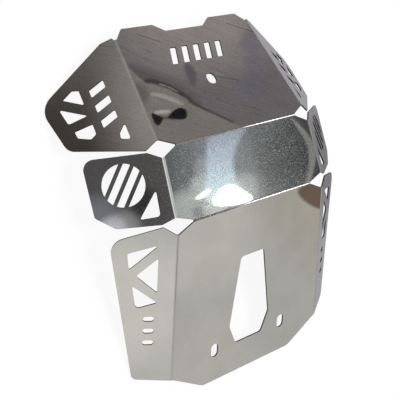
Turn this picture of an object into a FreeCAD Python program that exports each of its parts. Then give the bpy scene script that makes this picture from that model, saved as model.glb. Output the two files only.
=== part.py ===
"""Motorcycle skid plate: one folded sheet of stainless steel.

The sheet has three panels in a row, joined by two cross folds. The front
panel climbs towards the front wheel, the middle panel is the short one at
the knee, and the belly panel runs back under the engine. Each panel has a
pair of side wings, folded back to wrap the frame rails, and the notches
between the wings are the reliefs that let the sheet fold without tearing.

Frame in mm: x is across, y runs from the belly panel (minus) to the front
panel (plus) and z is up. The sheet lies as it comes to rest on a floor, with
its outside up, on the lowest corners of its wings. The floor is z = 0.

Panel sizes: across is measured from the middle line, along is measured from
the cross fold that the panel starts at. Wing sizes: reach is measured from
the side fold, along is measured from the end of the side fold nearest to
the knee of the plate. All are taken on the outside face.
"""

import FreeCAD
import Part
import math
import os

V = FreeCAD.Vector

# sheet and folds
SHEET = 2.0                 # thickness of the sheet
BEND_OUTER = 6.0            # outside radius of every fold
FRONT_FOLD = 23.0           # turn of the front panel from the middle panel
BELLY_FOLD = 24.0           # turn of the belly panel from the middle panel
FRONT_WING_FOLD = 34.5      # turn of each wing from its own panel
MIDDLE_WING_FOLD = 35.5
BELLY_WING_FOLD = 32.0

# cross folds and middle panel
CROSS_FOLD_HALF = 94.5      # half length of both cross folds
MIDDLE_LENGTH = 88.5        # from the belly fold to the front fold
MIDDLE_FOLD_START = 9.0     # side fold of the middle panel, along
MIDDLE_FOLD_END = 78.0
MIDDLE_HALF_START = 117.3   # half width at those two ends
MIDDLE_HALF_END = 115.0

# front panel
FRONT_LENGTH = 158.0        # to the tips of the two ears
FRONT_FOLD_START = 10.5     # side fold of the front panel, along
FRONT_FOLD_END = 145.0
FRONT_HALF_START = 114.3
FRONT_HALF_END = 102.5
EAR_OUTER = 88.5            # each ear runs between these two, across
EAR_INNER = 43.5
RECESS_HALF = 29.0          # half width of the bottom of the recess
RECESS_DEPTH = 10.8         # depth of the recess between the ears
EAR_ROUND = 3.0

# belly panel
BELLY_LENGTH = 236.0
BELLY_FOLD_START = 11.5     # side fold of the belly panel, along
BELLY_FOLD_END = 206.0
BELLY_HALF_START = 117.3
BELLY_HALF_END = 124.5
TAIL_HALF = 75.0            # half length of the straight rear edge
TAIL_ROUND = 18.0

# front wing outline
FRONT_RELIEF_REACH = 17.0   # corner where the relief notch ends
FRONT_RELIEF_DROP = 6.5
FRONT_LOW_REACH = 97.5      # lower outer corner
FRONT_LOW_ALONG = 28.5
FRONT_LOW_ROUND = 15.0
FRONT_TIP_REACH = 110.2     # the widest corner
FRONT_TIP_ALONG = 89.5
FRONT_TIP_ROUND = 24.0
FRONT_TOP_REACH = 18.5      # upper corner, next to the side fold
FRONT_TOP_RISE = 2.5        # how far it passes the end of the side fold
FRONT_TOP_ROUND = 4.0

# middle wing outline
MIDDLE_RELIEF_REACH = 17.0
MIDDLE_RELIEF_DROP = 4.3
MIDDLE_RELIEF_RISE = 8.5
MIDDLE_LOW_REACH = 68.0
MIDDLE_LOW_ALONG = 1.7
MIDDLE_LOW_ROUND = 8.0
MIDDLE_SIDE_REACH = 88.9
MIDDLE_SIDE_ALONG = 18.5
MIDDLE_SIDE_ROUND = 5.0
MIDDLE_TIP_REACH = 90.2
MIDDLE_TIP_RISE = 14.8
MIDDLE_TIP_ROUND = 12.0

# belly wing outline
BELLY_RELIEF_REACH = 17.0
BELLY_RELIEF_DROP = 9.0
BELLY_TIP_REACH = 77.0
BELLY_TIP_ALONG = 9.5
BELLY_TIP_ROUND = 18.0
BELLY_END_REACH = 48.5
BELLY_END_SHORT = 3.4       # how far the rear corner stops before the fold end
BELLY_END_ROUND = 8.0

RELIEF_ROUND = 2.0          # round of every relief corner

# drain opening of the belly panel, six sides
DRAIN_START = 70.0
DRAIN_START_HALF = 19.0
DRAIN_WIDEST = 165.0
DRAIN_WIDEST_HALF = 33.4
DRAIN_END = 193.0
DRAIN_END_HALF = 22.0
DRAIN_ROUND = 5.5

# bolt slots
BELLY_SLOT_WIDE = 11.0
BELLY_SLOT_LONG = 19.0
BELLY_SLOT_OFFSET = 57.0    # from the middle line
BELLY_SLOT_ALONG = 190.3
FRONT_SLOT_WIDE = 13.0
FRONT_SLOT_LONG = 15.0
FRONT_SLOT_ALONG = 72.5

# row of slanted slots across the front panel
ROW_COUNT = 5
ROW_PITCH = 17.5
ROW_SLOT_WIDE = 9.0
ROW_SLOT_LONG = 23.0
ROW_SLANT = 18.0            # lean of the slots, degrees
ROW_ALONG = 111.5
ROW_ROUND = 1.2

# row of slanted slots on the front wing
WING_ROW_COUNT = 3
WING_ROW_PITCH = 20.0
WING_ROW_ALONG = 66.0
WING_ROW_REACH = 41.0
WING_SLOT_WIDE = 10.0
WING_SLOT_LONG = 19.0
WING_SLANT = 18.0

# round grille of the middle wing
GRILLE_RADIUS = 24.4
GRILLE_REACH = 50.0
GRILLE_ALONG = 47.5
GRILLE_BARS = 3
GRILLE_BAR = 4.5
GRILLE_TURN = 35.0          # lean of the bars, degrees

# row of short slots on the belly wing
SHORT_COUNT = 3
SHORT_PITCH = 16.0
SHORT_ALONG = 124.0
SHORT_REACH = 30.5
SHORT_LONG = 13.0
SHORT_WIDE = 6.5

# truss vents of the wings: corners as (reach, along, round), from each fold
FRONT_VENTS = [
    [(61.5, 73.2, 1.2), (82.8, 88.8, 1.2), (69.3, 95.8, 2.5), (61.6, 92.8, 1.5)],
    [(61.5, 59.4, 1.2), (90.2, 79.9, 1.2), (86.0, 58.0, 3.0)],
    [(60.8, 47.8, 1.2), (60.8, 34.5, 3.0), (68.2, 31.0, 2.5), (81.4, 38.0, 3.0), (82.8, 47.2, 1.2)],
    [(26.9, 13.2, 2.0), (37.2, 18.3, 2.5), (35.9, 25.3, 3.0), (26.9, 34.4, 1.2)],
]
MIDDLE_VENTS = [
    [(15.9, 35.2, 1.2), (40.2, 6.5, 1.2), (17.0, 5.5, 4.0)],
]
BELLY_VENTS = [
    [(20.4, 12.6, 1.2), (54.4, 43.6, 1.2), (56.6, 23.0, 3.0)],
    [(21.2, 28.9, 1.2), (46.6, 51.5, 3.5), (21.2, 73.6, 1.2)],
    [(20.7, 86.6, 1.2), (50.6, 63.8, 1.2), (45.8, 94.0, 4.5)],
]

BEND_INNER = BEND_OUTER - SHEET


def outline(corners):
    """A closed wire through (x, y, round) corners, each rounded by an arc."""
    pts = [V(c[0], c[1], 0) for c in corners]
    n = len(pts)
    ends = []
    for i in range(n):
        p, r = pts[i], corners[i][2]
        a = (pts[i - 1] - p).normalize()
        b = (pts[(i + 1) % n] - p).normalize()
        half = math.acos(max(-1.0, min(1.0, a.dot(b)))) / 2
        if r <= 0 or half > math.radians(89):
            ends.append((p, None, p))
            continue
        t = r / math.tan(half)
        mid = (a + b).normalize()
        centre = p + mid * (r / math.sin(half))
        ends.append((p + a * t, centre - mid * r, p + b * t))
    edges = []
    for i in range(n):
        start, middle, stop = ends[i]
        if middle is not None:
            edges.append(Part.Arc(start, middle, stop).toShape())
        nxt = ends[(i + 1) % n][0]
        if stop.distanceToPoint(nxt) > 1e-6:
            edges.append(Part.makeLine(stop, nxt))
    return Part.Wire(edges)


def plate(corners):
    """A flat piece of the sheet: its outside face is z = 0."""
    return Part.Face(outline(corners)).extrude(V(0, 0, -SHEET))


def punch(corners):
    """A cutter for one opening, through the whole sheet."""
    face = Part.Face(outline(corners))
    face.translate(V(0, 0, -2 * SHEET))
    return face.extrude(V(0, 0, 3 * SHEET))


def slot(x, y, wide, long, turn=0.0):
    """A cutter with round ends: long runs along y before it is turned."""
    r, h = wide / 2, (long - wide) / 2
    a, b, c, d = V(r, -h, 0), V(r, h, 0), V(-r, h, 0), V(-r, -h, 0)
    wire = Part.Wire([
        Part.makeLine(a, b), Part.Arc(b, V(0, h + r, 0), c).toShape(),
        Part.makeLine(c, d), Part.Arc(d, V(0, -h - r, 0), a).toShape(),
    ])
    face = Part.Face(wire)
    face.rotate(V(0, 0, 0), V(0, 0, 1), turn)
    face.translate(V(x, y, -2 * SHEET))
    return face.extrude(V(0, 0, 3 * SHEET))


def slanted(x, y, wide, long, slant):
    """A cutter shaped as a leaning bar: long runs along y, wide across."""
    lean = math.tan(math.radians(slant)) * long / 2
    w, h = wide / 2, long / 2
    return punch([(x - w - lean, y - h, ROW_ROUND), (x + w - lean, y - h, ROW_ROUND),
                  (x + w + lean, y + h, ROW_ROUND), (x - w + lean, y + h, ROW_ROUND)])


def setback(fold):
    """From the sharp fold line back to where the flat sheet starts."""
    return BEND_OUTER * math.tan(math.radians(fold) / 2)


def placed(shape, origin, x, y):
    """The shape moved from its own flat frame to a panel or wing."""
    z = x.cross(y)
    m = FreeCAD.Matrix(x.x, y.x, z.x, origin.x, x.y, y.y, z.y, origin.y,
                       x.z, y.z, z.z, origin.z, 0, 0, 0, 1)
    out = shape.copy()
    out.Placement = FreeCAD.Placement(m)
    return out


def bend(length, fold):
    """A rolled strip along y, from its flat tangent line, turning down to +x."""
    section = Part.Face(Part.makePolygon([
        V(0, 0, 0), V(0, length, 0), V(0, length, -SHEET), V(0, 0, -SHEET), V(0, 0, 0)]))
    return section.revolve(V(0, 0, -BEND_OUTER), V(0, 1, 0), fold)


def both(corners):
    """Corners of the right half, going up, closed by their mirror image."""
    return corners + [(-x, y, r) for x, y, r in reversed(corners)]


def unit(a, b):
    return (b - a).normalize()


def tangent(half_start, start, half_end, end, fold):
    """Ends of the side fold moved in to where the flat panel stops."""
    a, b = V(half_start, start, 0), V(half_end, end, 0)
    e = unit(a, b)
    inward = V(-e.y, e.x, 0) * setback(fold) * (1 if e.y > 0 else -1)
    return a + inward, b + inward


def panel_frames():
    """Origin, across and along directions of each panel."""
    f, b = math.radians(FRONT_FOLD), math.radians(BELLY_FOLD)
    right = V(1, 0, 0)
    return {
        "front": (V(0, MIDDLE_LENGTH, 0), right, V(0, math.cos(f), -math.sin(f))),
        "middle": (V(0, 0, 0), right, V(0, 1, 0)),
        "belly": (V(0, 0, 0), right, V(0, math.cos(b), math.sin(b))),
    }


def front_panel():
    s = setback(FRONT_FOLD)
    lo, hi = tangent(FRONT_HALF_START, FRONT_FOLD_START, FRONT_HALF_END, FRONT_FOLD_END, FRONT_WING_FOLD)
    recess = FRONT_LENGTH - RECESS_DEPTH
    body = plate(both([
        (CROSS_FOLD_HALF, s, 0), (lo.x, lo.y, 0), (hi.x, hi.y, 0),
        (EAR_OUTER, FRONT_LENGTH, EAR_ROUND), (EAR_INNER, FRONT_LENGTH, EAR_ROUND),
        (RECESS_HALF, recess, EAR_ROUND)]))
    cuts = [slot(0, FRONT_SLOT_ALONG, FRONT_SLOT_WIDE, FRONT_SLOT_LONG)]
    for i in range(ROW_COUNT):
        x = (i - (ROW_COUNT - 1) / 2) * ROW_PITCH
        cuts.append(slanted(x, ROW_ALONG, ROW_SLOT_WIDE, ROW_SLOT_LONG, ROW_SLANT))
    return body.cut(cuts), lo, hi


def middle_panel():
    lo, hi = tangent(MIDDLE_HALF_START, MIDDLE_FOLD_START, MIDDLE_HALF_END, MIDDLE_FOLD_END, MIDDLE_WING_FOLD)
    body = plate(both([
        (CROSS_FOLD_HALF, setback(BELLY_FOLD), 0), (lo.x, lo.y, 0), (hi.x, hi.y, 0),
        (CROSS_FOLD_HALF, MIDDLE_LENGTH - setback(FRONT_FOLD), 0)]))
    return body, lo, hi


def belly_panel():
    """Drawn going down from the fold, so along is minus y in its frame."""
    s = setback(BELLY_FOLD)
    lo, hi = tangent(BELLY_HALF_END, -BELLY_FOLD_END, BELLY_HALF_START, -BELLY_FOLD_START, BELLY_WING_FOLD)
    body = plate(both([
        (TAIL_HALF, -BELLY_LENGTH, TAIL_ROUND), (lo.x, lo.y, 0), (hi.x, hi.y, 0),
        (CROSS_FOLD_HALF, -s, 0)]))
    drain = punch(both([
        (DRAIN_END_HALF, -DRAIN_END, DRAIN_ROUND), (DRAIN_WIDEST_HALF, -DRAIN_WIDEST, DRAIN_ROUND),
        (DRAIN_START_HALF, -DRAIN_START, DRAIN_ROUND)]))
    slots = [slot(side * BELLY_SLOT_OFFSET, -BELLY_SLOT_ALONG, BELLY_SLOT_WIDE, BELLY_SLOT_LONG)
             for side in (-1, 1)]
    return body.cut([drain] + slots), lo, hi


def front_wing(length, s):
    top = length + FRONT_TOP_RISE
    body = plate([
        (s, 0, 0), (FRONT_RELIEF_REACH, -FRONT_RELIEF_DROP, RELIEF_ROUND),
        (FRONT_LOW_REACH, FRONT_LOW_ALONG, FRONT_LOW_ROUND),
        (FRONT_TIP_REACH, FRONT_TIP_ALONG, FRONT_TIP_ROUND),
        (FRONT_TOP_REACH, top, FRONT_TOP_ROUND), (s + RELIEF_ROUND, top + 1, 0), (s, length, 0)])
    cuts = [punch(v) for v in FRONT_VENTS]
    for i in range(WING_ROW_COUNT):
        y = WING_ROW_ALONG + (i - (WING_ROW_COUNT - 1) / 2) * WING_ROW_PITCH
        bar = slanted(0, 0, WING_SLOT_WIDE, WING_SLOT_LONG, WING_SLANT)
        bar.rotate(V(0, 0, 0), V(0, 0, 1), 90)
        bar.translate(V(WING_ROW_REACH, y, 0))
        cuts.append(bar)
    return body.cut(cuts)


def middle_wing(length, s):
    body = plate([
        (s, 0, 0), (MIDDLE_RELIEF_REACH, -MIDDLE_RELIEF_DROP, RELIEF_ROUND),
        (MIDDLE_LOW_REACH, MIDDLE_LOW_ALONG, MIDDLE_LOW_ROUND),
        (MIDDLE_SIDE_REACH, MIDDLE_SIDE_ALONG, MIDDLE_SIDE_ROUND),
        (MIDDLE_TIP_REACH, length + MIDDLE_TIP_RISE, MIDDLE_TIP_ROUND),
        (MIDDLE_RELIEF_REACH, length + MIDDLE_RELIEF_RISE, RELIEF_ROUND), (s, length, 0)])
    disc = Part.makeCylinder(GRILLE_RADIUS, 3 * SHEET, V(0, 0, -2 * SHEET))
    bars = []
    pitch = 2 * GRILLE_RADIUS / (GRILLE_BARS + 1)
    for i in range(GRILLE_BARS):
        x = (i - (GRILLE_BARS - 1) / 2) * pitch
        bars.append(Part.makeBox(GRILLE_BAR, 4 * GRILLE_RADIUS, 5 * SHEET,
                                 V(x - GRILLE_BAR / 2, -2 * GRILLE_RADIUS, -3 * SHEET)))
    grille = disc.cut(bars)
    grille.rotate(V(0, 0, 0), V(0, 0, 1), GRILLE_TURN)
    grille.translate(V(GRILLE_REACH, GRILLE_ALONG, 0))
    return body.cut([grille] + [punch(v) for v in MIDDLE_VENTS])


def belly_wing(length, s):
    """Drawn going down, as the belly panel is."""
    body = plate([
        (s, 0, 0), (s, -length, 0),
        (BELLY_END_REACH, -(length - BELLY_END_SHORT), BELLY_END_ROUND),
        (BELLY_TIP_REACH, -BELLY_TIP_ALONG, BELLY_TIP_ROUND),
        (BELLY_RELIEF_REACH, BELLY_RELIEF_DROP, RELIEF_ROUND)])
    cuts = [punch([(x, -y, r) for x, y, r in v]) for v in BELLY_VENTS]
    for i in range(SHORT_COUNT):
        y = SHORT_ALONG + (i - (SHORT_COUNT - 1) / 2) * SHORT_PITCH
        cuts.append(slot(SHORT_REACH, -y, SHORT_WIDE, SHORT_LONG, 90))
    return body.cut(cuts)


def side(panel, lo, hi, fold, wing, from_top):
    """The right side bend and wing of a panel, lo and hi in its flat frame."""
    origin, x, y = panel
    z = x.cross(y)
    a, b = origin + x * lo.x + y * lo.y, origin + x * hi.x + y * hi.y
    e = unit(a, b)
    out = e.cross(z)
    length = a.distanceToPoint(b)
    t = math.radians(fold)
    reach = out * math.cos(t) - z * math.sin(t)
    sharp = (b if from_top else a) + out * setback(fold)
    return [placed(bend(length, fold), a, out, e), placed(wing(length, setback(fold)), sharp, reach, e)]


def cross_bend(at, along, fold):
    """A cross fold strip: at is its tangent line, along the way it leaves."""
    strip = bend(2 * CROSS_FOLD_HALF, fold)
    across = V(0, 0, 1).cross(along)
    return placed(strip, at - across * CROSS_FOLD_HALF, along, across)


def laid_down(shape):
    """Turned and lifted until it rests on its lowest front and rear corners."""
    pts = []
    for edge in shape.Edges:
        count = 2 if isinstance(edge.Curve, Part.Line) else 25
        pts += [(p.y, p.z) for p in edge.discretize(Number=count)]
    pts = sorted(set((round(y, 6), round(z, 6)) for y, z in pts))
    hull = []
    for p in pts:
        while len(hull) > 1 and ((hull[-1][0] - hull[-2][0]) * (p[1] - hull[-2][1])
                                 <= (hull[-1][1] - hull[-2][1]) * (p[0] - hull[-2][0])):
            hull.pop()
        hull.append(p)
    middle = shape.CenterOfMass.y
    for a, b in zip(hull, hull[1:]):
        if a[0] <= middle <= b[0]:
            break
    tilt = math.degrees(math.atan2(b[1] - a[1], b[0] - a[0]))
    shape.rotate(V(0, a[0], a[1]), V(1, 0, 0), -tilt)
    shape.translate(V(0, 0, -a[1]))
    box = shape.BoundBox
    shift = (box.YMin + box.YMax) / 2
    shape.translate(V(0, -shift, 0))
    return shape, tilt, shift, a[1], a[0]


def skid_plate():
    frames = panel_frames()
    flat = {"front": front_panel(), "middle": middle_panel(), "belly": belly_panel()}
    pieces = []
    for name in flat:
        origin, x, y = frames[name]
        pieces.append(placed(flat[name][0], origin, x, y))
    mirrored = []
    for name, fold, wing, from_top in (
            ("front", FRONT_WING_FOLD, front_wing, False),
            ("middle", MIDDLE_WING_FOLD, middle_wing, False),
            ("belly", BELLY_WING_FOLD, belly_wing, True)):
        body, lo, hi = flat[name]
        mirrored += side(frames[name], lo, hi, fold, wing, from_top)
    pieces += mirrored + [p.mirror(V(0, 0, 0), V(1, 0, 0)) for p in mirrored]
    pieces.append(cross_bend(V(0, MIDDLE_LENGTH - setback(FRONT_FOLD), 0), V(0, 1, 0), FRONT_FOLD))
    pieces.append(cross_bend(V(0, setback(BELLY_FOLD), 0), V(0, -1, 0), BELLY_FOLD))
    whole = pieces[0].fuse(pieces[1:]).removeSplitter()
    return whole.Solids[0] if len(whole.Solids) == 1 else whole


def main():
    whole, tilt, shift, drop, contact = laid_down(skid_plate())
    print("solids", len(whole.Solids), "valid", whole.isValid(), "faces", len(whole.Faces))
    print("tilt %.4f shift %.4f drop %.4f contact %.4f" % (tilt, shift, drop, contact))
    print("box", whole.BoundBox)
    os.makedirs("parts", exist_ok=True)
    whole.exportStep("parts/skid_plate.step")


main()
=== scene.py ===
"""Motorcycle skid plate: the look of one folded sheet of stainless steel.

The sheet lies on the floor with its outside up. It is cold rolled stainless
steel, nearly a mirror, so most of what the eye sees on it is the room. The
stage below has a white floor, a grey mat that only the steel shows, and a
plain room of soft light and dark areas, with lit cards round the plate for
the things that the steel mirrors.
"""

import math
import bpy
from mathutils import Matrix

bl_info = {
    "name": "Skid plate",
    "version": (1, 0, 0),
    "blender": (4, 2, 0),
    "location": "3D View > Sidebar > Skid plate",
    "description": "Finishes a folded stainless steel skid plate and sets up its studio",
    "category": "Object",
}

import bmesh
import bpy
from mathutils import Matrix, Vector

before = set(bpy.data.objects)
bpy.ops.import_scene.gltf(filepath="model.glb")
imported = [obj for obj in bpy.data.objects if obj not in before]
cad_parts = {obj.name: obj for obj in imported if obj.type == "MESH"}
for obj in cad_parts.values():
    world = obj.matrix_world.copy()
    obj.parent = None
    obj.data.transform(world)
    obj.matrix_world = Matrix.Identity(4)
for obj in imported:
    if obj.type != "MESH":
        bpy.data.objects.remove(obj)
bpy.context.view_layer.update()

MM = 0.001
PLATE = "skid_plate"
HUB = Vector((0.0, 0.04, 0.09))      # middle of the plate: directions are seen from here

# sockets of a Mix node, which has a set of its own for colours and one for plain numbers
COLOUR_A, COLOUR_B, COLOUR_OUT = 6, 7, 2
NUMBER_A, NUMBER_B = 2, 3

# zones of the sheet in mm: along is y, aside is the distance from the middle line
KNEE_MIDDLE = 36.6                    # middle of the middle panel, along
KNEE_FULL, KNEE_GONE = 43.0, 47.0     # its grain fades between these distances from there, along
ENDS_START, ENDS_STOP = 70.0, 120.0   # and is weaker past these, aside
FRONT_START, FRONT_FULL = 84.0, 92.0  # the front panel begins between these, along
RUBBED_FULL, RUBBED_END = 104.0, 114.0    # its wiping streaks fade between these, aside

# how strong each trace is all over the sheet, and how much is added on one panel
GRAIN_ALL, GRAIN_FRONT, GRAIN_KNEE = 0.04, 0.45, 0.95
MARKS_ALL, MARKS_FRONT = 0.12, 0.09
SCRATCHES_ALL, SCRATCHES_FRONT = 0.05, 0.38
KNEE_INNER, KNEE_OUTER = 1.0, 0.18        # share of the middle panel's grain, inside and at its ends
RUBBED_INNER, RUBBED_OUTER = 0.2, 0.05    # wiping streaks, inside and on the wings

# sizes of the patterns in mm
HAND_MARK = 42.0
STRAY_SPECK = 1.6
EDGE_RIPPLE = 0.6

EDGE_RISE = 0.70           # a face whose normal rises less than this is a cut edge
EDGE_ROUGHNESS = 0.45

# hairlines run in two directions: slant in degrees, and a shift that keeps the two apart
HAIRLINES = ((26, 0.0), (38, 0.4))

# long scratches of the front panel: start and end as (x, y) in mm, and how dark they are
LONG_SCRATCHES = [
    ((-69, 215), (-44, 202), 0.7),
    ((68, 213.5), (103, 196.5), 0.75),
    ((8, 148.5), (38, 138), 0.6),
    ((-9, 122), (13, 108), 0.4),
    ((20, 109), (48, 96), 0.35),
    ((-70, 195), (-63, 191), 0.5),
    ((-103, 206), (-92, 195.5), 0.35),
]


def linear(code):
    """An sRGB hex colour as linear values."""
    out = []
    for i in (0, 2, 4):
        c = int(code.lstrip("#")[i:i + 2], 16) / 255
        out.append(c / 12.92 if c <= 0.04045 else ((c + 0.055) / 1.055) ** 2.4)
    return (*out, 1.0)


def add(tree, kind, links=None, **settings):
    """Adds one node: settings set its own values; links feed its inputs.

    A link comes from a node's first output, from a socket or from a value.
    """
    node = tree.nodes.new(kind)
    for key, value in settings.items():
        setattr(node, key, value)
    for key, value in (links or {}).items():
        socket = node.inputs[key]
        if isinstance(value, bpy.types.Node):
            value = value.outputs[0]
        if isinstance(value, bpy.types.NodeSocket):
            tree.links.new(value, socket)
        else:
            socket.default_value = value
    return node


def new_material(name):
    mat = bpy.data.materials.new(name)
    mat.use_nodes = True
    mat.node_tree.nodes.clear()
    return mat, mat.node_tree


def direction(azimuth, elevation):
    """The unit vector at these angles in degrees."""
    a, e = math.radians(azimuth), math.radians(elevation)
    return Vector((math.cos(e) * math.cos(a), math.cos(e) * math.sin(a), math.sin(e)))


class SheetFinish(bpy.types.PropertyGroup):
    steel: bpy.props.FloatVectorProperty(
        name="Steel", description="Colour of the bare stainless steel", subtype="COLOR",
        size=4, min=0, max=1, default=linear("#c4c3c0"))
    scratch: bpy.props.FloatVectorProperty(
        name="Scratch", description="Colour of the hand marks and of the paler specks on a cut edge",
        subtype="COLOR", size=4, min=0, max=1, default=linear("#8f8c89"))
    # the cut colour darkens the cut edges as painted shade, and draws the hairline scratches
    cut: bpy.props.FloatVectorProperty(
        name="Cut edge", description="Colour of the laser cut edges and of the hairline scratches",
        subtype="COLOR", size=4, min=0, max=1, default=linear("#5d5957"))
    spark: bpy.props.FloatVectorProperty(
        name="Spark", description="Colour of the bright specks in the grain", subtype="COLOR",
        size=4, min=0, max=1, default=linear("#f4f3f0"))
    roughness: bpy.props.FloatProperty(
        name="Roughness", description="How far the rolled face blurs what it reflects",
        default=0.012, min=0, max=1, subtype="FACTOR")
    smudge: bpy.props.FloatProperty(
        name="Smudge", description="Extra roughness where the face has been handled",
        default=0.018, min=0, max=1, subtype="FACTOR")
    grain: bpy.props.FloatProperty(
        name="Grain", description="Width of the rolled grain, in millimetres",
        default=0.75, min=0.1, max=10)
    grain_depth: bpy.props.FloatProperty(
        name="Grain depth",
        description="Depth of the grain where it is coarsest, in thousandths of a millimetre",
        default=1.5, min=0, max=200)
    haze: bpy.props.FloatProperty(
        name="Haze", description="Roughness of the matt grains between the bright ones",
        default=0.38, min=0, max=1, subtype="FACTOR")
    wave: bpy.props.FloatProperty(
        name="Waviness", description="Length of the slow waves left by folding, in millimetres",
        default=85.0, min=5, max=500)
    wave_depth: bpy.props.FloatProperty(
        name="Wave depth", description="Height of the slow waves, in thousandths of a millimetre",
        default=60.0, min=0, max=1000)
    scratch_long: bpy.props.FloatProperty(
        name="Scratch length", description="Usual length of a hairline scratch, in millimetres",
        default=38.0, min=5, max=500)
    scratch_wide: bpy.props.FloatProperty(
        name="Scratch width", description="Width of a hairline scratch, in millimetres",
        default=0.8, min=0.1, max=5)


class Studio(bpy.types.PropertyGroup):
    floor: bpy.props.FloatVectorProperty(
        name="Floor", description="Colour of the matt floor", subtype="COLOR", size=4, min=0, max=1,
        default=linear("#f2f2f4"))
    mat: bpy.props.FloatVectorProperty(
        name="Mat", description="Colour of the grey felt under the plate, seen only in the steel",
        subtype="COLOR", size=4, min=0, max=1, default=linear("#a6a4a9"))
    shadow: bpy.props.FloatProperty(
        name="Shadow", description="How much of its real light and shadow the white floor keeps",
        default=0.08, min=0, max=1, subtype="FACTOR")
    floor_size: bpy.props.FloatProperty(
        name="Floor size", description="Side of the square floor", default=8.0, min=1, unit="LENGTH")
    reach: bpy.props.FloatProperty(
        name="Card distance", description="Distance of the farthest card from the plate",
        default=3.0, min=1, unit="LENGTH")
    lens: bpy.props.FloatProperty(
        name="Lens", description="Focal length of the camera on a 36 mm film",
        default=71.98, min=10, max=300)
    eye: bpy.props.FloatVectorProperty(
        name="Eye", description="Place of the camera", size=3, subtype="TRANSLATION",
        default=(-0.61245, 0.10845, 0.83173))


class SKIDPLATE_OT_finish(bpy.types.Operator):
    """Gives the folded sheet its cold rolled stainless steel face"""
    bl_idname = "skidplate.finish"
    bl_label = "Finish the sheet"

    def execute(self, context):
        look = context.scene.skid_sheet
        # cold rolled bright stainless: a grey mirror. Its grain sparkles most on the short middle
        # panel; the front panel has hairline scratches and hand marks
        mat, tree = new_material("stainless steel, cold rolled bright")
        where = add(tree, "ShaderNodeTexCoord").outputs["Object"]
        split = add(tree, "ShaderNodeSeparateXYZ", {0: where})
        side = add(tree, "ShaderNodeMath", {0: split.outputs["X"]}, operation="ABSOLUTE")
        knee, front = self.zones(tree, split.outputs["Y"], side)
        depth = add(tree, "ShaderNodeMath", {0: front, 1: GRAIN_FRONT, 2: GRAIN_ALL},
                    operation="MULTIPLY_ADD")
        depth = add(tree, "ShaderNodeMath", {0: knee, 1: GRAIN_KNEE, 2: depth},
                    operation="MULTIPLY_ADD")
        # hand marks: cloudy patches that are a little darker and duller
        marks = add(tree, "ShaderNodeTexNoise", {
            "Vector": where, "Scale": 1 / (HAND_MARK * MM), "Detail": 3.0})
        handled = add(tree, "ShaderNodeMath", {0: front, 1: MARKS_FRONT, 2: MARKS_ALL},
                      operation="MULTIPLY_ADD")
        cloud = add(tree, "ShaderNodeMapRange", {
            0: marks, "From Min": 0.35, "From Max": 0.65, "To Max": handled},
            interpolation_type="SMOOTHSTEP")
        matt, sparks, dull = self.grains(tree, look, where, knee, depth)
        hair, wiped = self.hairlines(tree, look, where, front, side)
        cloud = add(tree, "ShaderNodeMath", {0: cloud, 1: wiped}, operation="ADD")
        cloud = add(tree, "ShaderNodeMath", {0: cloud, 1: dull}, operation="MAXIMUM")
        colour = look.steel
        for part, shade in ((cloud, look.scratch), (sparks, look.spark), (hair, look.cut)):
            colour = add(tree, "ShaderNodeMix", {0: part, COLOUR_A: colour, COLOUR_B: shade},
                         data_type="RGBA").outputs[COLOUR_OUT]
        smooth = add(tree, "ShaderNodeMapRange", {
            0: marks, "From Min": 0.42, "From Max": 0.68, "To Min": look.roughness,
            "To Max": look.roughness + look.smudge}, interpolation_type="SMOOTHSTEP")
        rough = add(tree, "ShaderNodeMath", {0: matt, 1: look.haze, 2: smooth},
                    operation="MULTIPLY_ADD")
        # cut edges: matt, and darkened by painted shade
        edge, ripple_and_shade = self.cut_edges(tree, look, where)
        colour = add(tree, "ShaderNodeMix", {0: edge, COLOUR_A: colour, COLOUR_B: ripple_and_shade},
                     data_type="RGBA").outputs[COLOUR_OUT]
        blur = add(tree, "ShaderNodeMix", {0: edge, NUMBER_A: rough, NUMBER_B: EDGE_ROUGHNESS},
                   data_type="FLOAT")
        sheet = add(tree, "ShaderNodeBsdfPrincipled", {
            "Base Color": colour, "Metallic": 1.0, "Roughness": blur,
            "Normal": self.relief(tree, look, where, depth)})
        add(tree, "ShaderNodeOutputMaterial", {0: sheet})
        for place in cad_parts[PLATE].material_slots:
            place.material = mat
        return {"FINISHED"}

    def zones(self, tree, along, side):
        """Where the middle panel and the front panel are: 0 elsewhere, and 1 where they are full."""
        ends = add(tree, "ShaderNodeMapRange", {
            0: side, "From Min": ENDS_START * MM, "From Max": ENDS_STOP * MM,
            "To Min": KNEE_INNER, "To Max": KNEE_OUTER}, interpolation_type="SMOOTHSTEP")
        away = add(tree, "ShaderNodeMath", {0: along, 1: KNEE_MIDDLE * MM}, operation="SUBTRACT")
        away = add(tree, "ShaderNodeMath", {0: away}, operation="ABSOLUTE")
        knee = add(tree, "ShaderNodeMapRange", {
            0: away, "From Min": KNEE_FULL * MM, "From Max": KNEE_GONE * MM,
            "To Min": ends, "To Max": 0.0}, interpolation_type="SMOOTHSTEP")
        front = add(tree, "ShaderNodeMapRange", {
            0: along, "From Min": FRONT_START * MM, "From Max": FRONT_FULL * MM},
            interpolation_type="SMOOTHSTEP")
        return knee, front

    def cut_edges(self, tree, look, where):
        """Laser cut edges, matt, and darker by painted shade: each edge face stands steeper than any
        panel or wing.
        """
        turn = add(tree, "ShaderNodeSeparateXYZ", {
            0: add(tree, "ShaderNodeTexCoord").outputs["Normal"]})
        upright = add(tree, "ShaderNodeMath", {0: turn.outputs["Z"]}, operation="ABSOLUTE")
        edge = add(tree, "ShaderNodeMath", {0: upright, 1: EDGE_RISE}, operation="LESS_THAN")
        # the ripple that the cut leaves is finer; it is drawn this coarse so that it shows
        ripple = add(tree, "ShaderNodeTexNoise", {
            "Vector": where, "Scale": 1 / (EDGE_RIPPLE * MM), "Detail": 0.0})
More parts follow.
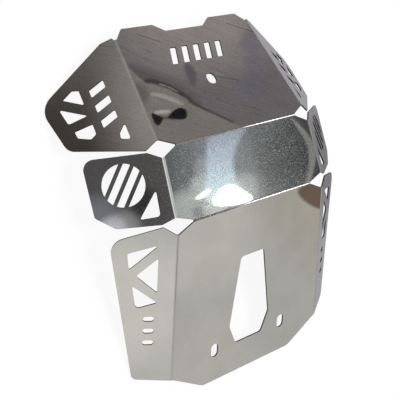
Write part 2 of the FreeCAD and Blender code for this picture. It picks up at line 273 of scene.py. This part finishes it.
        # the darker cut colour on the edges is painted shade; the paler specks of the ripple are the
        # cut's own
        ripple_and_shade = add(tree, "ShaderNodeMix", {0: ripple, COLOUR_A: look.cut, COLOUR_B: look.scratch},
                    data_type="RGBA").outputs[COLOUR_OUT]
        return edge, ripple_and_shade

    def relief(self, tree, look, where, depth):
        """The rolled grain, and under it the slow waves that folding leaves in the sheet."""
        # real grain is far finer; it is drawn this coarse so that it shows
        grain = add(tree, "ShaderNodeTexNoise", {
            "Vector": where, "Scale": 1 / (look.grain * MM), "Detail": 2.0})
        grain = add(tree, "ShaderNodeMath", {0: grain, 1: depth}, operation="MULTIPLY")
        fine = add(tree, "ShaderNodeBump", {
            "Height": grain, "Distance": look.grain_depth * MM * MM, "Strength": 1.0})
        slow = add(tree, "ShaderNodeTexNoise", {
            "Vector": where, "Scale": 1 / (look.wave * MM), "Detail": 1.0})
        return add(tree, "ShaderNodeBump", {
            "Height": slow, "Distance": look.wave_depth * MM * MM, "Strength": 1.0, "Normal": fine})

    def grains(self, tree, look, where, knee, depth):
        """Matt grains, bright ones and dull ones, all drawn coarser than they are to show."""
        lively = add(tree, "ShaderNodeMath", {0: depth, 1: 0.9}, operation="MULTIPLY")
        darker = add(tree, "ShaderNodeMath", {0: depth, 1: 0.55}, operation="MULTIPLY")
        spots = []
        # width in mm, detail, the noise from which a grain fades in and where it is full, strength
        for width, detail, low, high, most in (
                (look.grain * 0.6, 1.0, 0.54, 0.64, knee),    # matt, between the mirror bright ones
                (look.grain * 1.3, 0.0, 0.71, 0.77, knee),    # the few that flash
                (STRAY_SPECK, 0.0, 0.76, 0.80, 0.2),          # stray specks on all panels
                (look.grain, 0.0, 0.54, 0.70, lively),        # bright
                (look.grain, 0.0, 0.47, 0.30, darker)):       # dull, where the noise is low
            pattern = add(tree, "ShaderNodeTexNoise", {
                "Vector": where, "Scale": 1 / (width * MM), "Detail": detail})
            spots.append(add(tree, "ShaderNodeMapRange", {
                0: pattern, "From Min": low, "From Max": high, "To Max": most},
                interpolation_type="SMOOTHSTEP"))
        between, flashes, stray, bright, dull = spots
        matt = add(tree, "ShaderNodeMath", {0: flashes, 1: 2.0, 2: between},
                   operation="MULTIPLY_ADD")
        sparks = add(tree, "ShaderNodeMath", {0: bright, 1: stray}, operation="MAXIMUM")
        sparks = add(tree, "ShaderNodeMath", {0: sparks, 1: flashes}, operation="MAXIMUM")
        return matt, sparks, dull

    def hairlines(self, tree, look, where, front, side):
        """Hairline scratches, straight and slanted, on the front panel, among wiping streaks."""
        scratched = add(tree, "ShaderNodeMath", {0: front, 1: SCRATCHES_FRONT, 2: SCRATCHES_ALL},
                        operation="MULTIPLY_ADD")
        rubbed = add(tree, "ShaderNodeMapRange", {
            0: side, "From Min": RUBBED_FULL * MM, "From Max": RUBBED_END * MM,
            "To Min": RUBBED_INNER, "To Max": RUBBED_OUTER}, interpolation_type="SMOOTHSTEP")
        rubbed = add(tree, "ShaderNodeMath", {0: rubbed, 1: front}, operation="MULTIPLY")
        hair = wiped = 0.0
        slim = look.scratch_wide / look.scratch_long
        for slant, shift in HAIRLINES:
            turned = add(tree, "ShaderNodeMapping", {
                "Vector": where, "Location": (shift, shift, 0.0),
                "Rotation": (0.0, 0.0, math.radians(slant))})
            thin = add(tree, "ShaderNodeVectorMath", {0: turned, 1: (slim, 1.0, slim)},
                       operation="MULTIPLY")
            # real hairlines are finer; these are as wide as they need to be to show
            lines = add(tree, "ShaderNodeTexNoise", {
                "Vector": thin, "Scale": 1 / (look.scratch_wide * 2.2 * MM), "Detail": 0.0})
            lines = add(tree, "ShaderNodeMapRange", {
                0: lines, "From Min": 0.79, "From Max": 0.84, "To Max": scratched},
                interpolation_type="SMOOTHSTEP")
            hair = add(tree, "ShaderNodeMath", {0: hair, 1: lines}, operation="MAXIMUM")
            bands = add(tree, "ShaderNodeTexNoise", {
                "Vector": thin, "Scale": 1 / (look.scratch_wide * 2.6 * MM), "Detail": 0.0})
            bands = add(tree, "ShaderNodeMapRange", {
                0: bands, "From Min": 0.50, "From Max": 0.72, "To Max": rubbed},
                interpolation_type="SMOOTHSTEP")
            wiped = add(tree, "ShaderNodeMath", {0: wiped, 1: bands}, operation="MAXIMUM")
        # the few long scratches that stand out
        flat = add(tree, "ShaderNodeVectorMath", {0: where, 1: (1.0, 1.0, 0.0)},
                   operation="MULTIPLY")
        for start, end, shown in LONG_SCRATCHES:
            first, last = Vector((*start, 0.0)) * MM, Vector((*end, 0.0)) * MM
            run = last - first
            off = add(tree, "ShaderNodeVectorMath", {0: flat, 1: first}, operation="SUBTRACT")
            part = add(tree, "ShaderNodeVectorMath", {0: off, 1: run / run.length_squared},
                       operation="DOT_PRODUCT")
            held = add(tree, "ShaderNodeClamp", {0: part.outputs["Value"]})
            foot = add(tree, "ShaderNodeVectorMath", {0: run, "Scale": held}, operation="SCALE")
            gap = add(tree, "ShaderNodeVectorMath", {0: off, 1: foot}, operation="DISTANCE")
            line = add(tree, "ShaderNodeMapRange", {
                0: gap.outputs["Value"], "From Min": look.scratch_wide * 0.25 * MM,
                "From Max": look.scratch_wide * MM, "To Min": shown, "To Max": 0.0},
                interpolation_type="SMOOTHSTEP")
            hair = add(tree, "ShaderNodeMath", {0: hair, 1: line}, operation="MAXIMUM")
        return hair, wiped


# the stage, in metres
WALL_GAP = 0.1             # the walls stand this far behind the farthest card
CARD_STEP = 0.02           # each card stands this much nearer than the one before it
CARD_ROUNDS = 3            # how many times the corners of a card are cut to round them
MAT_HEIGHT = 0.0002        # the mat lies just over the floor
# the mat's darker patch is painted shade beside the plate, for the right wings to mirror
SHADE_PATCH_PLACE = (0.29, -0.01, 0.0)      # middle of the mat's darker patch
SHADE_PATCH_FULL, SHADE_PATCH_GONE = 0.04, 0.13   # it fades between these distances from there
SHADE_PATCH_DARK = 0.4
LAMP_SIZE, LAMP_HEIGHT = 1.1, 2.6
LAMP_POWER = 42            # watts
FILM = 36                  # width of the camera's film, mm
FAR = 50                   # how far the camera sees
CAMERA_AHEAD = Vector((0.58537, -0.10453, -0.80400))
CAMERA_UP = Vector((0.23898, 0.96984, 0.04790))

ROOM = "#a9a8a6"           # the room where no area below covers it

# soft areas of the room, later ones over earlier ones: azimuth and elevation of the middle,
# radius of the full part and of the faded edge (degrees), colour
AREAS = [
    (0, 90, 27, 32, "#e4e8ea"),            # high ceiling
    (-85, 20, 38, 60, "#d6d5d2"),          # the bright side
    (-52, 29, 3, 9, "#e9e8e2"),            # what the belly panel shows
    (-38, 22, 4, 10, "#d1cec4"),
    (-59, 18.5, 2, 6, "#e0ded9"),
    (-122, 29, 7, 17, "#e6e5e1"),          # what the left rear wing shows
    (-121, 29, 1, 7, "#fbf9f4"),
    (-85, 38, 1, 6, "#8a8986"),            # a narrow dark frame
    (160, 24, 26, 44, "#4f4a49"),          # the dark side
    (118, 36, 5, 15, "#b9b5b2"),
    (178, 49, 13, 19, "#656364"),
    (-178.5, 48.9, 0.2, 1.9, "#3d3e41"),   # what the left middle wing shows
    (-178.3, 44.6, 0.0, 2.4, "#8d909b"),
    (-175.9, 46.6, 0.0, 2.0, "#b0afb2"),
    (-175.9, 45.6, 0.2, 1.7, "#eeeffa"),
    (46, 30, 9, 26, "#868184"),            # low ceiling over the front panel
    (49.5, 19.5, 3, 11, "#b0a8a9"),
    (-3, 50, 9, 15, "#767b7d"),            # what the middle panel shows
    (-3.2, 43.8, 1.8, 5.6, "#484c4e"),
    (-7.6, 52.4, 0.8, 4.2, "#c2c7c8"),
    (0.8, 51.2, 0.0, 2.4, "#989ea6"),      # glare round the window
    (-2.4, 51.4, 0.0, 2.5, "#9ba0a4"),
    (-6.4, 50.9, 0.2, 1.7, "#dde3e3"),
    (0.8, 54.0, 0.2, 1.4, "#8b919d"),
    (-2.4, 54.1, 0.3, 1.4, "#b8bfca"),
    (-5.6, 54.6, 0.4, 1.7, "#e6eff3"),
    (-8.5, 56.4, 0.6, 2.3, "#d8dfdc"),
    (-9.4, 55.5, 0.1, 0.8, "#a9abae"),
    (-9.0, 53.9, 0.4, 1.4, "#fbfffd"),
    (43.0, 23.8, 0.0, 1.5, "#8d8994"),     # bluish patches
    (42.0, 25.6, 0.0, 1.5, "#8a8790"),
    (41.9, 27.8, 0.0, 1.8, "#84818a"),
]

# cards round the plate that show in it, later ones nearer: name, colour (or one for the low-y end
# and one for the high-y end), strength, width of the soft edge in degrees, and corners as
# (azimuth, elevation) in degrees, seen from the hub
CARDS = [
    ("front fold light", "#ffffff", 7.0, 0.5, [
        (22.2, 46.1), (30.4, 42.1), (25.6, 37.8), (18.2, 41.5)]),
    ("side fold light", "#f0f4f8", 1.3, 0.5, [
        (145, 75), (145, 57), (165, 53.4), (180, 52.6), (195, 53.4), (215, 57), (215, 75)]),
    ("rear fold light", "#ffffff", 7.0, 0.5, [
        (-27.6, 46.0), (-37.1, 40.1), (-31.0, 35.2), (-22.5, 40.8)]),
    ("rear fold shade", "#55585a", 1.0, 0.8, [
        (-22, 55), (-36, 49), (-46, 42), (-50, 33.5), (-44, 33), (-39, 39), (-31, 46), (-22, 49)]),
    ("window", ("#dbf4ff", "#787891"), 2.0, 0.5, [
        (2.7, 53.2), (0.3, 53.7), (-3.0, 54.2), (-5.3, 54.6), (-8.2, 54.9), (-9.1, 50.6),
        (-7.2, 51.0), (-5.9, 51.5), (-3.8, 51.7), (-1.7, 51.4), (0.0, 50.8), (1.5, 49.9),
        (4.0, 48.6), (4.5, 51.4)]),
    ("sun patch", "#ffffff", 7.0, 0.2, [
        (-8.8, 54.1), (-7.4, 53.9), (-6.4, 53.3), (-5.7, 52.4), (-6.3, 51.6), (-7.4, 50.9),
        (-8.5, 50.1), (-9.1, 51.5)]),
    ("small sun patch", "#ffffff", 4.0, 0.15, [
        (-7.2, 55.8), (-6.7, 55.4), (-6.2, 54.8), (-5.8, 54.1), (-6.4, 54.25), (-7.0, 54.8),
        (-7.3, 55.3)]),
    ("dark corner", "#55575a", 1.0, 0.2, [
        (1.5, 45.15), (0.4, 44.65), (-0.5, 44.25), (-1.9, 43.87), (-3.2, 43.73), (-4.5, 43.85),
        (-6, 44.25), (-8.2, 45), (-10, 44.5), (-9, 41), (3, 41), (2.6, 45)]),
    ("pillar", "#aeaeaa", 1.0, 0.12, [
        (1.5, 45.1), (0.4, 44.6), (-0.5, 44.2), (-1.9, 43.82), (-3.2, 43.68), (-4.5, 43.8),
        (-6, 44.2), (-8.2, 44.95), (-8.1, 45.5), (-6.3, 44.8), (-4.4, 44.37), (-2.5, 44.29),
        (-0.85, 44.62), (1.5, 45.25)]),
    ("edge shade", "#736f6e", 1.0, 0.9, [
        (54.9, 28), (53.2, 28.4), (51.6, 28.55), (50.2, 28.9), (48.8, 29.2), (47.3, 29.9),
        (46.5, 30.4), (46.9, 30.8), (49.2, 30.2), (51.1, 29.8), (52.6, 29.85), (54, 29.5),
        (55, 28.8)]),
    ("beige wall", "#98938f", 1.0, 0.1, [
        (55.5, 28.2), (54.1, 29.0), (53.0, 29.6), (51.7, 29.4), (50.0, 29.6), (48.9, 29.9),
        (48.0, 30.2), (47.7, 30.5), (45.0, 30.9), (42.2, 31.4), (40.5, 31.5), (41, 34.5),
        (49.7, 36), (56, 34)]),
    ("corner shade", "#7d7973", 1.0, 0.7, [
        (54.2, 29.7), (53.3, 29.75), (52.7, 30.1), (52.35, 30.8), (52.5, 31.4), (53.2, 31.8),
        (54.2, 31.8)]),
    ("wall edge", "#575253", 1.0, 0.2, [
        (53.3, 29.35), (52.7, 29.05), (51.3, 29.15), (50.1, 29.35), (48.9, 29.7), (48, 30),
        (47.6, 30.4), (45, 30.82), (41.8, 31.33), (45, 31), (47.75, 30.65), (48.2, 30.25),
        (49.4, 29.95), (50.7, 29.65), (52.3, 29.5), (53.1, 29.6)]),
    ("bright line", "#b3ada8", 1.0, 0.04, [
        (51.6, 29.36), (50.5, 29.5), (49.3, 29.78), (49.35, 29.84), (50.5, 29.6), (51.6, 29.46)]),
    ("thin line", "#3f3b3d", 1.0, 0.03, [
        (51.1, 29.46), (50.3, 29.64), (49.3, 29.88), (48.4, 30.17), (48.35, 30.23), (49.3, 29.95),
        (50.25, 29.72), (51.1, 29.54)]),
    ("upper beam", "#99948b", 1.0, 0.2, [
        (52.4, 29.8), (51, 29.8), (49.9, 30.05), (49.2, 30.25), (50.8, 30.1), (52.4, 30.1)]),
    ("pale beam", "#beb9b2", 1.0, 0.2, [
        (52.4, 30.3), (51.4, 30.15), (50.1, 30.3), (49.2, 30.5), (48.35, 30.8), (48.85, 30.9),
        (50.2, 30.65), (51.6, 30.5), (52.3, 30.6)]),
    ("shaded beam", "#9a9591", 1.0, 0.3, [
        (52.1, 30.7), (51.3, 30.65), (50.4, 30.8), (48.9, 31.1), (49.6, 31.35), (50.5, 31.2),
        (51.9, 31.15)]),
    ("pale ledge", "#dad5ce", 1.0, 0.24, [
        (51.7, 32.1), (51.25, 31.82), (50.6, 31.62), (49.75, 31.58), (50.1, 31.88), (50.75, 32.03),
        (51.4, 32.17)]),
    ("knob stem", "#67646a", 1.0, 0.12, [
        (49.2, 31.9), (50.0, 32.2), (50.8, 32.4), (50.3, 32.52), (49.7, 32.38), (49.2, 32.4)]),
    ("dark knob", "#27262c", 1.0, 0.06, [
        (50.05, 32.22), (49.75, 31.78), (49.35, 31.3), (48.75, 31.06), (48.15, 31.18),
        (47.88, 31.62), (47.98, 32.05), (48.65, 32.24), (49.5, 32.35), (49.9, 32.36)]),
    ("dark gap", "#2a2a2c", 1.0, 0.06, [
        (52.2, 32.1), (51.3, 32.25), (50.5, 32.35), (50.6, 32.8), (50.85, 33.3), (51.4, 33.2)]),
    ("grey pole", "#77747a", 1.0, 0.3, [
        (49.6, 26.8), (48.95, 26.7), (48.3, 27.2), (47.9, 27.85), (47.75, 28.5), (48.0, 28.9),
        (48.55, 28.55), (49.0, 28.0), (49.4, 27.4)]),
    ("brown door", "#897567", 1.0, 0.3, [
        (-41.4, 24.6), (-40.8, 24.7), (-40.1, 24.75), (-36, 25.5), (-36, 20), (-40.4, 21),
        (-41, 21.9), (-41.35, 22.75), (-41.55, 23.7)]),
]


class SKIDPLATE_OT_stage(bpy.types.Operator):
    """Sets the white floor, the grey mat, the plain room with its lit cards, and the camera"""
    bl_idname = "skidplate.stage"
    bl_label = "Set the stage"

    def execute(self, context):
        scene = context.scene
        room = scene.skid_studio
        self.floor(scene, room)
        self.mat(scene, room)
        self.world(scene)
        self.walls(scene, room)
        for i, card in enumerate(CARDS):
            self.card(scene, room.reach - CARD_STEP * i, *card)
        self.overhead(scene)
        self.camera(scene, room)
        scene.view_settings.view_transform = "Standard"
        return {"FINISHED"}

    def place(self, scene, name, mesh, material, seen_by_all=False):
        """Puts a stage mesh in the scene; most are there for the steel to reflect and no more."""
        mesh.materials.append(material)
        ob = bpy.data.objects.new(name.replace(" ", "_"), mesh)
        scene.collection.objects.link(ob)
        ob.visible_camera = ob.visible_diffuse = ob.visible_shadow = seen_by_all
        return ob

    def square(self, name, side, height):
        h = side / 2
        mesh = bpy.data.meshes.new(name)
        mesh.from_pydata([(-h, -h, height), (h, -h, height), (h, h, height), (-h, h, height)],
                         [], [(0, 1, 2, 3)])
        return mesh

    def background(self, tree):
        """1 for the rays that find the white background: camera, glossy and transmission rays."""
        path = add(tree, "ShaderNodeLightPath")
        seen = path.outputs["Is Camera Ray"]
        for kind in ("Is Glossy Ray", "Is Transmission Ray"):
            seen = add(tree, "ShaderNodeMath", {0: seen, 1: path.outputs[kind]},
                       operation="MAXIMUM")
        return seen

    def floor(self, scene, room):
        # matt painted board: white and even, with a faint soft shadow under the plate
        board, tree = new_material("painted board, matt")
        shade = add(tree, "ShaderNodeBsdfDiffuse", {"Color": room.floor})
        white = add(tree, "ShaderNodeEmission", {"Color": linear("#ffffff"), "Strength": 1.0})
        part = add(tree, "ShaderNodeMath", {0: self.background(tree), 1: 1.0 - room.shadow},
                   operation="MULTIPLY")
        mix = add(tree, "ShaderNodeMixShader", {0: part, 1: shade, 2: white})
        add(tree, "ShaderNodeOutputMaterial", {0: mix})
        square = self.square("floor", room.floor_size, 0.0)
        self.place(scene, "floor", square, board, seen_by_all=True)

    def mat(self, scene, room):
        # pale grey felt: dull and even, with one darker patch of painted shade beside the plate, for
        # the wings to mirror
        felt, tree = new_material("felt, pale grey")
        gap = add(tree, "ShaderNodeVectorMath", {
            0: add(tree, "ShaderNodeTexCoord").outputs["Object"], 1: SHADE_PATCH_PLACE},
            operation="DISTANCE")
        dark = add(tree, "ShaderNodeMapRange", {
            0: gap.outputs["Value"], "From Min": SHADE_PATCH_FULL, "From Max": SHADE_PATCH_GONE,
            "To Min": SHADE_PATCH_DARK, "To Max": 0.0}, interpolation_type="SMOOTHSTEP")
        colour = add(tree, "ShaderNodeMix", {
            0: dark, COLOUR_A: room.mat, COLOUR_B: linear("#000000")},
            data_type="RGBA").outputs[COLOUR_OUT]
        cloth = add(tree, "ShaderNodeBsdfDiffuse", {"Color": colour})
        add(tree, "ShaderNodeOutputMaterial", {0: cloth})
        self.place(scene, "mat", self.square("mat", room.floor_size / 2, MAT_HEIGHT), felt)

    def world(self, scene):
        world = bpy.data.worlds.new("white studio")
        scene.world = world
        world.use_nodes = True
        tree = world.node_tree
        tree.nodes.clear()
        fill = add(tree, "ShaderNodeBackground", {"Color": linear("#cdcdce"), "Strength": 1.0})
        white = add(tree, "ShaderNodeBackground", {"Color": linear("#ffffff"), "Strength": 1.0})
        mix = add(tree, "ShaderNodeMixShader", {0: self.background(tree), 1: fill, 2: white})
        add(tree, "ShaderNodeOutputWorld", {0: mix})

    def walls(self, scene, room):
        # plastered walls and ceiling: soft light and dark areas, each fading into the next
        plaster, tree = new_material("room walls, plastered")
        way = add(tree, "ShaderNodeVectorMath", {
            0: add(tree, "ShaderNodeTexCoord").outputs["Object"]}, operation="NORMALIZE")
        colour = linear(ROOM)
        for azimuth, elevation, inner, outer, code in AREAS:
            near = add(tree, "ShaderNodeVectorMath", {0: way, 1: direction(azimuth, elevation)},
                       operation="DOT_PRODUCT")
            mask = add(tree, "ShaderNodeMapRange", {
                0: near.outputs["Value"], "From Min": math.cos(math.radians(outer)),
                "From Max": math.cos(math.radians(inner))}, interpolation_type="SMOOTHSTEP")
            colour = add(tree, "ShaderNodeMix", {0: mask, COLOUR_A: colour, COLOUR_B: linear(code)},
                         data_type="RGBA").outputs[COLOUR_OUT]
        light = add(tree, "ShaderNodeEmission", {"Color": colour, "Strength": 1.0})
        add(tree, "ShaderNodeOutputMaterial", {0: light})
        shell = bmesh.new()
        bmesh.ops.create_uvsphere(shell, u_segments=64, v_segments=32, radius=room.reach + WALL_GAP)
        # the walls end at the floor
        low = [v for v in shell.verts if v.co.z < -HUB.z - 0.01]
        bmesh.ops.delete(shell, geom=low, context="VERTS")
        mesh = bpy.data.meshes.new("room")
        shell.to_mesh(mesh)
        shell.free()
        self.place(scene, "room", mesh, plaster).location = HUB

    def card(self, scene, distance, name, code, strength, soft, corners):
        """A lit card with rounded corners and a soft edge, all one tone or fading along y."""
        for _ in range(CARD_ROUNDS):
            closed = list(zip(corners, corners[1:] + corners[:1]))
            corners = [(a[0] + (b[0] - a[0]) * t, a[1] + (b[1] - a[1]) * t)
                       for a, b in closed for t in (0.25, 0.75)]
        rim = [direction(*corner) * distance for corner in corners]
        count = len(rim)
        middle = sum(rim, Vector()) / count
        turn = sum((rim[i - 1].cross(rim[i]) for i in range(count)), Vector()).dot(middle)
        half = math.copysign(distance * math.radians(soft) / 2, turn)
        # the card is full up to half the soft edge inside its rim, and gone as far outside it
        inward = [rim[i].cross(rim[(i + 1) % count] - rim[i - 1]).normalized() * half
                  for i in range(count)]
        full = [HUB + p + n for p, n in zip(rim, inward)]
        gone = [HUB + p - n for p, n in zip(rim, inward)]
        ring = [(i, (i + 1) % count, (i + 1) % count + count, i + count) for i in range(count)]
        mesh = bpy.data.meshes.new(name)
        mesh.from_pydata(full + gone, [], [tuple(range(count))] + ring)
        shown = mesh.attributes.new("shown", "FLOAT", "POINT")
        shown.data.foreach_set("value", [1.0] * count + [0.0] * count)
        # painted card, evenly lit: a flat tone that the steel mirrors, with no gloss of its own
        paint, tree = new_material(name + ", lit card")
        low, high = (code, code) if isinstance(code, str) else code
        along = add(tree, "ShaderNodeSeparateXYZ", {
            0: add(tree, "ShaderNodeTexCoord").outputs["Generated"]})
        colour = add(tree, "ShaderNodeMix", {
            0: along.outputs["Y"], COLOUR_A: linear(low), COLOUR_B: linear(high)},
            data_type="RGBA").outputs[COLOUR_OUT]
        light = add(tree, "ShaderNodeEmission", {"Color": colour, "Strength": strength})
        clear = add(tree, "ShaderNodeBsdfTransparent")
        fade = add(tree, "ShaderNodeAttribute", attribute_name="shown")
        mix = add(tree, "ShaderNodeMixShader", {0: fade.outputs["Fac"], 1: clear, 2: light})
        add(tree, "ShaderNodeOutputMaterial", {0: mix})
        self.place(scene, name, mesh, paint)

    def overhead(self, scene):
        lamp = bpy.data.lights.new("overhead soft light", "AREA")
        lamp.shape = "DISK"
        lamp.size = LAMP_SIZE
        lamp.energy = LAMP_POWER
        ob = bpy.data.objects.new("overhead_soft_light", lamp)
        ob.location = (0, 0, LAMP_HEIGHT)
        ob.visible_glossy = False
        scene.collection.objects.link(ob)

    def camera(self, scene, room):
        cam = bpy.data.cameras.new("view")
        cam.sensor_width = FILM
        cam.lens = room.lens
        cam.clip_end = FAR
        ob = bpy.data.objects.new("view", cam)
        side = CAMERA_AHEAD.cross(CAMERA_UP).normalized()
        turn = Matrix((side, side.cross(CAMERA_AHEAD), -CAMERA_AHEAD)).transposed()
        ob.matrix_world = Matrix.Translation(Vector(room.eye)) @ turn.to_4x4()
        scene.collection.objects.link(ob)
        scene.camera = ob


class SKIDPLATE_PT_panel(bpy.types.Panel):
    bl_label = "Skid plate"
    bl_space_type = "VIEW_3D"
    bl_region_type = "UI"
    bl_category = "Skid plate"

    def draw(self, context):
        column = self.layout.column()
        for group in (context.scene.skid_sheet, context.scene.skid_studio):
            for key in group.__annotations__:
                column.prop(group, key)
        for operator in (SKIDPLATE_OT_finish, SKIDPLATE_OT_stage):
            column.operator(operator.bl_idname)


CLASSES = (SheetFinish, Studio, SKIDPLATE_OT_finish, SKIDPLATE_OT_stage, SKIDPLATE_PT_panel)


def register():
    for c in CLASSES:
        bpy.utils.register_class(c)
    bpy.types.Scene.skid_sheet = bpy.props.PointerProperty(type=SheetFinish)
    bpy.types.Scene.skid_studio = bpy.props.PointerProperty(type=Studio)


def unregister():
    del bpy.types.Scene.skid_sheet
    del bpy.types.Scene.skid_studio
    for c in reversed(CLASSES):
        bpy.utils.unregister_class(c)


def main():
    register()
    bpy.ops.skidplate.finish()
    bpy.ops.skidplate.stage()


if __name__ == "__main__":
    main()
